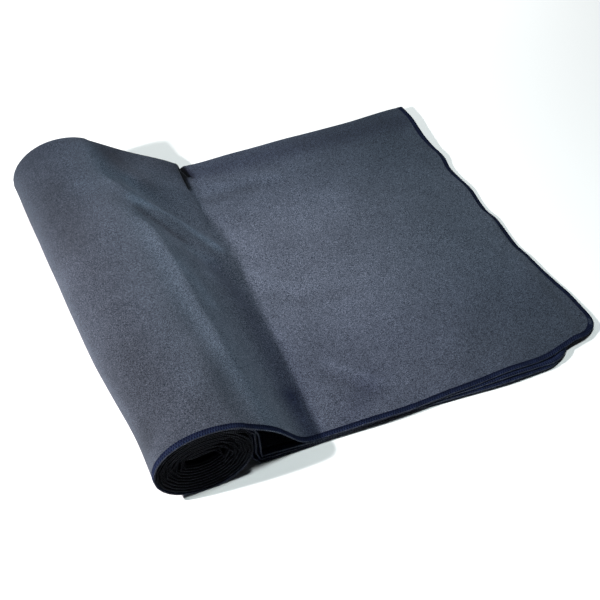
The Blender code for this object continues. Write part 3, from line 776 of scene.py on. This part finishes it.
def thread_tube(points, outs, half_width, half_thick):
    """A flattened tube along points: its corners, and its faces as rows of corner numbers."""
    ahead = unit(np.gradient(points, axis=0))
    across = unit(np.cross(ahead, outs))
    up = unit(np.cross(across, ahead))
    angle = 2 * math.pi * np.arange(THREAD_SIDES) / THREAD_SIDES
    ring = half_width * np.cos(angle)[None, :, None] * across[:, None, :]
    ring = ring + half_thick * np.sin(angle)[None, :, None] * up[:, None, :]
    corners = (points[:, None, :] + ring).reshape(-1, 3)
    near = np.arange(len(points) - 1)[:, None] * THREAD_SIDES + np.arange(THREAD_SIDES)
    beside = np.roll(near, -1, axis=1)
    faces = np.stack((near, beside, beside + THREAD_SIDES, near + THREAD_SIDES), axis=-1)
    return corners, faces.reshape(-1, 4)


def mesh_object(name, corners, faces):
    """A smooth mesh object from corners and four-cornered faces."""
    mesh = bpy.data.meshes.new(name)
    mesh.from_pydata(corners.tolist(), [], faces.tolist())
    mesh.polygons.foreach_set("use_smooth", [True] * len(mesh.polygons))
    mesh.update()
    piece = bpy.data.objects.new(name, mesh)
    bpy.context.scene.collection.objects.link(piece)
    return piece


def add_painted_light_and_shade(piece, tones):
    """Keep the painted light and shade on a piece's corners, for its material to read."""
    nap = piece.data.color_attributes.new(name="nap", type="FLOAT_COLOR", domain="POINT")
    nap.data.foreach_set("color", tones.reshape(-1))


def zigzag(stitches, pitch, shape):
    """Places of one thread over a run of stitches: round the edge, in from it and off the middle
    of the cloth. The shape's rows are the same three for one stitch, the first as a fraction."""
    fraction, inset, height = np.array(shape).T
    place = (stitches[:, None] + fraction) * pitch
    return place.reshape(-1), np.tile(inset, len(stitches)), np.tile(height, len(stitches))


def looper_threads(cloth, sizes, half_cloth, stitches, pitch):
    """The open threads of the seam: the upper looper runs from the needle's hole out to the edge
    and back to the next hole, and the lower looper does the same underneath."""
    thick = sizes.thread_thickness / 2
    band = sizes.band
    on_top = half_cloth + thick
    upper = (
        (0.00, band, on_top * 0.85),
        (0.22, band * 0.72, on_top * 1.15),
        (0.37, band * 0.42, on_top * 1.15),
        (0.46, band * 0.12, on_top * 1.10),
        (0.50, -thick * 1.8, 0.0),
        (0.54, band * 0.12, on_top * 1.10),
        (0.63, band * 0.42, on_top * 1.15),
        (0.78, band * 0.72, on_top * 1.15),
    )
    lower = (
        (0.00, band, -on_top),
        (0.44, band * 0.12, -on_top * 1.1),
        (0.50, -thick * 1.2, -thick),
        (0.56, band * 0.12, -on_top * 1.1),
    )
    threads = []
    for shape, side in ((upper, 1.0), (lower, -1.0)):
        place, inset, height = zigzag(stitches, pitch, shape)
        spot, normal, outward = edge_points(cloth, place, inset, height)
        round_edge = np.clip(1.0 - np.maximum(inset, 0.0) / (band * ROUNDS_EDGE), 0.0, 1.0)
        faces_out = unit(between(normal * side, outward, round_edge[:, None]))
        threads.append(thread_tube(spot, faces_out, sizes.thread_width / 2, thick))
    return threads


def needle_thread(cloth, sizes, half_cloth, stitches, pitch):
    """A row of short straight stitches along the inner edge of the seam."""
    thick = sizes.thread_thickness / 2
    on_top = half_cloth + thick
    line = sizes.band + sizes.margin * NEEDLE_LINE
    needle = ((0.10, line, on_top * 0.90), (0.50, line, on_top * 1.05), (0.90, line, on_top * 0.90))
    spot, normal, _ = edge_points(cloth, *zigzag(stitches, pitch, needle))
    return thread_tube(spot, normal, sizes.thread_width / 2 * NEEDLE_WIDTH, thick * NEEDLE_THICKNESS)


def shade_under_loopers(cloth, sizes, half_cloth, stitches, pitch):
    """A thin band round the cut edge under the loopers, in the near-black seam finish: painted shade
    between the threads.
    """
    on_cloth = half_cloth + GROUND_LIES
    profile = (
        (sizes.band + sizes.margin, on_cloth),
        (sizes.band * 0.1, on_cloth),
        (-GROUND_LIES, 0.0),
        (sizes.band * 0.1, -on_cloth),
        (sizes.band, -on_cloth),
    )
    place = np.append(stitches, stitches[-1] + 1) * pitch
    even = np.ones(len(place))
    lines = [edge_points(cloth, place, even * inset, even * height)[0] for inset, height in profile]
    near = np.arange(len(place) - 1)[:, None] * len(profile) + np.arange(len(profile) - 1)
    faces = np.stack((near, near + 1, near + 1 + len(profile), near + len(profile)), axis=-1)
    return np.stack(lines, axis=1).reshape(-1, 3), faces.reshape(-1, 4)


def joined(kinds):
    """Meshes of several kinds as one: its corners, its faces, and the kind of each face."""
    corners, faces, kind_of_face, used = [], [], [], 0
    for kind, parts in enumerate(kinds):
        for part_corners, part_faces in parts:
            corners.append(part_corners)
            faces.append(part_faces + used)
            kind_of_face += [kind] * len(part_faces)
            used += len(part_corners)
    return np.concatenate(corners), np.concatenate(faces), kind_of_face


def opaque(colour):
    return tuple(colour) + (1.0,)


def grey(value):
    return opaque((value, value, value))


class Finish:
    """A material, built up node by node over the piece's own coordinates."""

    def __init__(self, name, numbers):
        self.material = bpy.data.materials.new(name)
        self.material.use_nodes = True
        self.tree = self.material.node_tree
        self.shader = self.tree.nodes["Principled BSDF"]
        self.fill(self.shader, numbers)
        self.place = self.node("ShaderNodeTexCoord", {}).outputs["Object"]

    def fill(self, node, inputs):
        """Give a node's inputs their numbers, or link them to other nodes."""
        for name, value in inputs.items():
            if isinstance(value, bpy.types.NodeSocket):
                self.tree.links.new(value, node.inputs[name])
            else:
                node.inputs[name].default_value = value

    def node(self, kind, inputs, **settings):
        node = self.tree.nodes.new(kind)
        for name, value in settings.items():
            setattr(node, name, value)
        self.fill(node, inputs)
        return node

    def noise(self, scale, detail, rough=0.5):
        inputs = {"Vector": self.place, "Scale": scale, "Detail": detail, "Roughness": rough}
        return self.node("ShaderNodeTexNoise", inputs).outputs["Fac"]

    def ramp(self, value, low, high, low_colour, high_colour):
        """Colours between two values of a pattern."""
        node = self.node("ShaderNodeValToRGB", {"Fac": value})
        first, last = node.color_ramp.elements
        first.position, first.color = low, low_colour
        last.position, last.color = high, high_colour
        return node.outputs["Color"]

    def toned(self, colour, tones):
        """A colour multiplied by tones."""
        inputs = {"Factor": 1.0, "A": colour, "B": tones}
        mix = self.node("ShaderNodeMix", inputs, data_type="RGBA", blend_type="MULTIPLY")
        return mix.outputs["Result"]

    def mottled(self, colour, mottle):
        """A colour that soft spots make darker and lighter, and the pattern of the spots."""
        spots = self.noise(mottle.scale, mottle.detail)
        low, high = 0.5 - mottle.spread, 0.5 + mottle.spread
        tones = self.ramp(spots, low, high, grey(mottle.darkest), grey(mottle.lightest))
        return self.toned(colour, tones), spots

    def turned(self, colour, turn):
        """A colour darkened to a tone along an axis: painted shade towards a side of the towel."""
        split = self.node("ShaderNodeSeparateXYZ", {"Vector": self.place})
        inputs = {"Value": split.outputs[turn.axis], "From Min": turn.start, "From Max": turn.end}
        share = self.node("ShaderNodeMapRange", inputs, interpolation_type="SMOOTHSTEP")
        tones = self.ramp(share.outputs["Result"], 0.0, 1.0, grey(1.0), opaque(turn.tone))
        return self.toned(colour, tones)

    def colour_with_painted_light_and_shade(self, colour):
        """Give the shader the colour, multiplied by the painted light and shade that the piece keeps."""
        nap = self.node("ShaderNodeAttribute", {}, attribute_name="nap")
        self.fill(self.shader, {"Base Color": self.toned(colour, nap.outputs["Color"])})

    def bump(self, height, numbers):
        bump = self.node("ShaderNodeBump", {"Height": height, **numbers})
        self.fill(self.shader, {"Normal": bump.outputs["Normal"]})


def suede_material(colours):
    """Brushed suede pile: fine heathered grain and soft mottling, with painted shade towards the sides
    and painted light and shade in bands.
    """
    suede = Finish("brushed suede pile", SUEDE_FINISH)
    tufts = suede.node("ShaderNodeTexVoronoi", {"Vector": suede.place, "Scale": TUFTS_IN_A_METRE})
    tuft = suede.node("ShaderNodeSeparateColor", {"Color": tufts.outputs["Color"]})
    dark, light = opaque(colours.cloth_dark), opaque(colours.cloth_light)
    colour = suede.ramp(tuft.outputs["Red"], 0.0, 1.0, dark, light)
    colour, heather = suede.mottled(colour, HEATHER)
    colour, _ = suede.mottled(colour, PATCHES)
    colour, _ = suede.mottled(colour, BROAD)
    # Painted shade towards each side of the towel
    for turn in SHADE_TOWARDS_SIDES:
        colour = suede.turned(colour, turn)
    # Painted light and shade kept on the cloth's corners
    suede.colour_with_painted_light_and_shade(colour)
    suede.bump(heather, SUEDE_BUMP)
    return suede.material


def thread_material(name, darker, lighter):
    """Textured thread: a little paler where its fibres stand up."""
    thread = Finish(name, THREAD_FINISH)
    fibre = thread.noise(FIBRES_IN_A_METRE, 2.0, 0.6)
    colour = thread.ramp(fibre, 0.35, 0.65, opaque(darker), opaque(lighter))
    colour, _ = thread.mottled(colour, THREAD_PATCHES)
    thread.colour_with_painted_light_and_shade(colour)
    thread.bump(fibre, THREAD_BUMP)
    return thread.material


def floor_material(colour):
    """Smooth pale surface with a barely uneven tone."""
    floor = Finish("pale matt floor", FLOOR_FINISH)
    low = opaque(channel * FLOOR_DARKEST for channel in colour)
    tone = floor.ramp(floor.noise(3.0, 2.0), 0.3, 0.7, low, opaque(colour))
    floor.fill(floor.shader, {"Base Color": tone})
    return floor.material


class ClothSizes(bpy.types.PropertyGroup):
    """Sizes of the cloth."""

    thickness: FloatProperty(
        name="Cloth thickness", description="Thickness of one layer of the suede",
        default=0.0008, min=0.0003, max=0.002, unit="LENGTH", precision=5,
    )


class StitchSizes(bpy.types.PropertyGroup):
    """Sizes of the overlock seam."""

    pitch: FloatProperty(
        name="Stitch length", description="From one needle hole to the next",
        default=0.0017, min=0.001, max=0.006, unit="LENGTH", precision=5,
    )
    band: FloatProperty(
        name="Seam width", description="From the cut edge in to the needle's line",
        default=0.0042, min=0.002, max=0.008, unit="LENGTH", precision=5,
    )
    margin: FloatProperty(
        name="Needle groove", description="How far the sheet of seam shade shows past the needle's line",
        default=0.0011, min=0.0, max=0.003, unit="LENGTH", precision=5,
    )
    thread_width: FloatProperty(
        name="Thread width", description="Width of a looper thread where it lies spread out",
        default=0.00070, min=0.0002, max=0.002, unit="LENGTH", precision=5,
    )
    thread_thickness: FloatProperty(
        name="Thread thickness", description="How thick the spread thread lies on the cloth",
        default=0.00026, min=0.0001, max=0.001, unit="LENGTH", precision=5,
    )


class Finishes(bpy.types.PropertyGroup):
    """Colours of the cloth, the thread and the floor."""

    cloth_dark: FloatVectorProperty(
        name="Dark fibres", description="Darker fibres of the heathered cloth",
        default=(0.003, 0.008, 0.018), subtype="COLOR", min=0.0, max=1.0,
    )
    cloth_light: FloatVectorProperty(
        name="Light fibres", description="Lighter fibres of the heathered cloth",
        default=(0.137, 0.153, 0.201), subtype="COLOR", min=0.0, max=1.0,
    )
    thread_dark: FloatVectorProperty(
        name="Dark thread", description="Thread in its folds",
        default=(0.0040, 0.0065, 0.0210), subtype="COLOR", min=0.0, max=1.0,
    )
    thread_light: FloatVectorProperty(
        name="Light thread", description="Thread where its fibres stand up",
        default=(0.0195, 0.0290, 0.0660), subtype="COLOR", min=0.0, max=1.0,
    )
    # Painted shade: a near-black copy of the thread's colours, for the needle thread and the sheet under
    # the loopers
    seam_shade_dark: FloatVectorProperty(
        name="Seam shade", description="Thread in the seam, darkened as painted shade",
        default=(0.0008, 0.0014, 0.0070), subtype="COLOR", min=0.0, max=1.0,
    )
    seam_shade_light: FloatVectorProperty(
        name="Lighter seam shade", description="Its fibres that stand up",
        default=(0.0022, 0.0040, 0.0170), subtype="COLOR", min=0.0, max=1.0,
    )
    floor: FloatVectorProperty(
        name="Floor", description="Colour of the surface under the towel",
        default=(0.93, 0.93, 0.93), subtype="COLOR", min=0.0, max=1.0,
    )


class StageSizes(bpy.types.PropertyGroup):
    """Camera and lights."""

    azimuth: FloatProperty(
        name="Camera azimuth", description="Turn of the camera round the towel",
        default=math.radians(-24.0), subtype="ANGLE",
    )
    elevation: FloatProperty(
        name="Camera elevation", description="Angle of the camera above the surface",
        default=math.radians(42.16), subtype="ANGLE",
    )
    distance: FloatProperty(
        name="Camera distance", description="From the camera to the point that it looks at",
        default=0.98, min=0.2, unit="LENGTH",
    )
    aim: FloatVectorProperty(
        name="Looked at", description="The point that the camera looks at",
        default=(-0.008874, -0.020538, 0.0), subtype="TRANSLATION", unit="LENGTH", precision=5,
    )
    lens: FloatProperty(
        name="Lens", description="Focal length of the camera", default=83.7, min=20.0, unit="CAMERA",
    )
    side_power: FloatProperty(
        name="Side light", description="Power of the light from the left",
        default=6.9, min=0.0, unit="POWER",
    )
    high_power: FloatProperty(
        name="High light", description="Power of the light from above",
        default=9.2, min=0.0, unit="POWER",
    )
    floor_power: FloatProperty(
        name="Floor light", description="Power of the light on the surface beyond the towel",
        default=1.9, min=0.0, unit="POWER",
    )
    ambient: FloatProperty(
        name="Room light", description="Strength of the even light from all round",
        default=0.015, min=0.0,
    )


class TOWEL_OT_cloth(bpy.types.Operator):
    """Make the folded and rolled cloth"""

    bl_idname = "towel.make_cloth"
    bl_label = "Cloth"

    def execute(self, context):
        sheet = folded_cloth()
        number = np.arange(sheet.points[..., 0].size).reshape(sheet.points.shape[:2])
        faces = np.stack((number[:-1, :-1], number[:-1, 1:], number[1:, 1:], number[1:, :-1]), axis=-1)
        cloth = mesh_object("towel_cloth", sheet.points.reshape(-1, 3), faces.reshape(-1, 4))
        thickness = cloth.modifiers.new("Cloth thickness", "SOLIDIFY")
        thickness.thickness = context.scene.towel_cloth.thickness
        thickness.offset = 0.0
        # Painted light and shade on the cloth, kept on its corners for its material
        add_painted_light_and_shade(cloth, sheet.nap())
        cloth.data.materials.append(suede_material(context.scene.towel_finishes))
        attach(cloth, "root")
        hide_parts("towel")
        return {"FINISHED"}


class TOWEL_OT_stitching(bpy.types.Operator):
    """Lay the overlock threads round the whole edge of the cloth"""

    bl_idname = "towel.make_stitching"
    bl_label = "Overlocked edge"

    def execute(self, context):
        cloth = bpy.data.objects.get("towel_cloth")
        if cloth is None:
            raise RuntimeError("Make the cloth before its stitching")
        sheet = folded_cloth()
        sizes = context.scene.towel_stitching
        half_cloth = context.scene.towel_cloth.thickness / 2
        edge_length = edge_place(np.array([0.0]))[2]
        count = round(edge_length / sizes.pitch)
        pitch = edge_length / count
        finishes = context.scene.towel_finishes
        looper = thread_material("textured overlock thread", finishes.thread_dark, finishes.thread_light)
        # Painted shade: the same thread, darker, for the needle thread and the sheet under the loopers
        seam_shade = thread_material("thread deep in the seam", finishes.seam_shade_dark, finishes.seam_shade_light)
        for n, name in enumerate(SEAM_PARTS):
            stitches = np.arange(count * n // len(SEAM_PARTS), count * (n + 1) // len(SEAM_PARTS))
            seam_run = (sheet, sizes, half_cloth, stitches, pitch)
            in_seam_shade = [needle_thread(*seam_run), shade_under_loopers(*seam_run)]
            corners, faces, finish = joined((looper_threads(*seam_run), in_seam_shade))
            seam = mesh_object(name, corners, faces)
            # Painted shade of the roll's inner turns, on the threads too
            tones = np.ones((len(corners), 4))
            tones[:, :3] *= painted_roll_end_shade(corners)[:, None]
            add_painted_light_and_shade(seam, tones)
            seam.data.materials.append(looper)
            seam.data.materials.append(seam_shade)
            seam.data.polygons.foreach_set("material_index", finish)
            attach(seam, "root")
        return {"FINISHED"}


def area_light(lamp, power):
    """A square soft light at its lamp's place, turned to its target."""
    light = bpy.data.lights.new(lamp.name, "AREA")
    light.shape = "SQUARE"
    light.size = lamp.size
    light.spread = math.radians(lamp.spread)
    light.energy = power
    light.color = lamp.colour
    holder = bpy.data.objects.new(lamp.name, light)
    holder.location = lamp.place
    holder.rotation_mode = "QUATERNION"
    holder.rotation_quaternion = (Vector(lamp.target) - Vector(lamp.place)).to_track_quat("-Z", "Y")
    bpy.context.scene.collection.objects.link(holder)


class TOWEL_OT_stage(bpy.types.Operator):
    """Set the floor, the lights and the camera"""

    bl_idname = "towel.set_stage"
    bl_label = "Stage"

    def execute(self, context):
        scene = context.scene
        stage = scene.towel_stage
        corners = FLOOR_REACH * np.array(((-1, -1, 0), (1, -1, 0), (1, 1, 0), (-1, 1, 0)))
        floor = mesh_object("floor", corners, np.array([[0, 1, 2, 3]]))
        floor.data.materials.append(floor_material(scene.towel_finishes.floor))
        for lamp in LAMPS:
            area_light(lamp, getattr(stage, lamp.power))

        world = bpy.data.worlds.new("room light")
        world.use_nodes = True
        background = world.node_tree.nodes["Background"]
        background.inputs["Color"].default_value = ROOM_COLOUR
        background.inputs["Strength"].default_value = stage.ambient
        scene.world = world
        scene.view_settings.view_transform = "Standard"

        back = Vector((
            math.sin(stage.azimuth) * math.cos(stage.elevation),
            -math.cos(stage.azimuth) * math.cos(stage.elevation),
            math.sin(stage.elevation),
        ))
        lens = bpy.data.cameras.new("camera")
        lens.lens = stage.lens
        lens.sensor_width = SENSOR_WIDTH
        camera = bpy.data.objects.new("camera", lens)
        camera.location = Vector(stage.aim) + back * stage.distance
        camera.rotation_mode = "QUATERNION"
        camera.rotation_quaternion = (-back).to_track_quat("-Z", "Y")
        scene.collection.objects.link(camera)
        scene.camera = camera
        return {"FINISHED"}


class TOWEL_PT_panel(bpy.types.Panel):
    """Yoga towel"""

    bl_idname = "TOWEL_PT_panel"
    bl_label = "Yoga towel"
    bl_space_type = "VIEW_3D"
    bl_region_type = "UI"
    bl_category = "Yoga towel"

    def draw(self, context):
        layout = self.layout
        for operator in OPERATORS:
            layout.operator(operator.bl_idname)
        for group in (name for name, _ in GROUPS):
            settings = getattr(context.scene, group)
            box = layout.box()
            for name in settings.__annotations__:
                box.prop(settings, name)


OPERATORS = (TOWEL_OT_cloth, TOWEL_OT_stitching, TOWEL_OT_stage)
GROUPS = (
    ("towel_cloth", ClothSizes),
    ("towel_stitching", StitchSizes),
    ("towel_finishes", Finishes),
    ("towel_stage", StageSizes),
)


def register():
    for name, group in GROUPS:
        bpy.utils.register_class(group)
        setattr(bpy.types.Scene, name, PointerProperty(type=group))
    for operator in OPERATORS:
        bpy.utils.register_class(operator)
    bpy.utils.register_class(TOWEL_PT_panel)


def unregister():
    bpy.utils.unregister_class(TOWEL_PT_panel)
    for operator in reversed(OPERATORS):
        bpy.utils.unregister_class(operator)
    for name, group in reversed(GROUPS):
        delattr(bpy.types.Scene, name)
        bpy.utils.unregister_class(group)


def main():
    register()
    bpy.ops.towel.make_cloth()
    bpy.ops.towel.make_stitching()
    bpy.ops.towel.set_stage()


if __name__ == "__main__":
    main()
